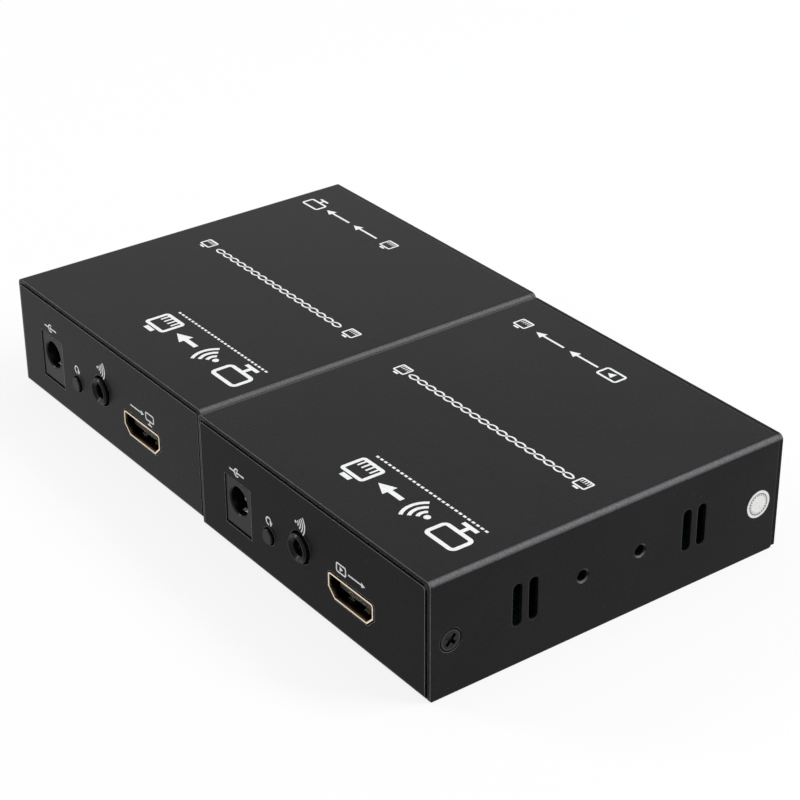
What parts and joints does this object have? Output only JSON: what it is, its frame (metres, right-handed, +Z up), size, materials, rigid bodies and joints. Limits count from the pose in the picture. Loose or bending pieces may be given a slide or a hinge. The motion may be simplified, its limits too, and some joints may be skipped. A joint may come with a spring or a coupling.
{
  "type": "video extender pair",
  "caption": "Pair of low sheet-metal boxes that send a video signal over a network cable, with power, infrared, video and network sockets.",
  "frame": {"origin": "middle of the pair's footprint, on the surface that both boxes stand on", "axes": "+X to the right as seen by someone who faces the port panels, with the transmitter at the right; +Y from the port panels to the network panels; +Z up"},
  "size_m": [0.1606, 0.0944, 0.027],
  "materials": {
    "black_enamel": "satin powder coat",
    "black_screw": "black plated steel",
    "plated_steel": "tin plated",
    "green_board": "lacquered laminate",
    "black_moulding": "matt",
    "spring_bronze": "bright",
    "gold_plating": "gold plated",
    "lamp_lens": "translucent",
    "chip_moulding": "matt",
    "sink_aluminium": "extruded",
    "can_aluminium": "bright",
    "seal_paper": "paper",
    "white_ink": "screen-printed ink"
  },
  "bodies": {
    "transmitter": {"transmitter_top_cover": "black_enamel", "transmitter_bottom_tray": "black_enamel", "transmitter_cover_screws": "black_screw", "transmitter_board_standoffs": "plated_steel", "transmitter_circuit_board": "green_board", "transmitter_board_screws": "plated_steel", "transmitter_power_jack_housing": "black_moulding", "transmitter_power_jack_pin": "plated_steel", "transmitter_power_jack_spring": "spring_bronze", "transmitter_reset_switch_body": "black_moulding", "transmitter_reset_switch_frame": "plated_steel", "transmitter_reset_switch_dome": "spring_bronze", "transmitter_infrared_jack_housing": "black_moulding", "transmitter_infrared_jack_sleeve": "plated_steel", "transmitter_infrared_jack_springs": "spring_bronze", "transmitter_video_socket_shell": "gold_plating", "transmitter_video_socket_tongue": "black_moulding", "transmitter_video_socket_contacts": "gold_plating", "transmitter_network_jack_housing": "black_moulding", "transmitter_network_jack_shield": "plated_steel", "transmitter_network_jack_contacts": "gold_plating", "transmitter_network_jack_lamps": "lamp_lens", "transmitter_status_lamps": "lamp_lens", "transmitter_network_transformer": "chip_moulding", "transmitter_main_chip": "chip_moulding", "transmitter_heat_sink": "sink_aluminium", "transmitter_memory_chips": "chip_moulding", "transmitter_capacitors": "can_aluminium", "transmitter_seal": "seal_paper"},
    "transmitter_reset_button": {"transmitter_reset_button": "black_moulding"},
    "receiver": {"receiver_top_cover": "black_enamel", "receiver_bottom_tray": "black_enamel", "receiver_cover_screws": "black_screw", "receiver_board_standoffs": "plated_steel", "receiver_circuit_board": "green_board", "receiver_board_screws": "plated_steel", "receiver_power_jack_housing": "black_moulding", "receiver_power_jack_pin": "plated_steel", "receiver_power_jack_spring": "spring_bronze", "receiver_reset_switch_body": "black_moulding", "receiver_reset_switch_frame": "plated_steel", "receiver_reset_switch_dome": "spring_bronze", "receiver_infrared_jack_housing": "black_moulding", "receiver_infrared_jack_sleeve": "plated_steel", "receiver_infrared_jack_springs": "spring_bronze", "receiver_video_socket_shell": "gold_plating", "receiver_video_socket_tongue": "black_moulding", "receiver_video_socket_contacts": "gold_plating", "receiver_network_jack_housing": "black_moulding", "receiver_network_jack_shield": "plated_steel", "receiver_network_jack_contacts": "gold_plating", "receiver_network_jack_lamps": "lamp_lens", "receiver_status_lamps": "lamp_lens", "receiver_network_transformer": "chip_moulding", "receiver_main_chip": "chip_moulding", "receiver_heat_sink": "sink_aluminium", "receiver_memory_chips": "chip_moulding", "receiver_capacitors": "can_aluminium"},
    "receiver_reset_button": {"receiver_reset_button": "black_moulding"}
  },
  "joints": [
    {"name": "receiver_apart", "type": "slide", "parent": "transmitter", "child": "receiver", "axis": [-1, 0, 0], "range_m": [0, 0.1]},
    {"name": "transmitter_reset_press", "type": "slide", "parent": "transmitter", "child": "transmitter_reset_button", "axis": [0, 1, 0], "range_m": [0, 0.0003], "stiffness_N_per_m": 1500, "springref_m": -0.0008},
    {"name": "receiver_reset_press", "type": "slide", "parent": "receiver", "child": "receiver_reset_button", "axis": [0, 1, 0], "range_m": [0, 0.0003], "stiffness_N_per_m": 1500, "springref_m": -0.0008}
  ]
}
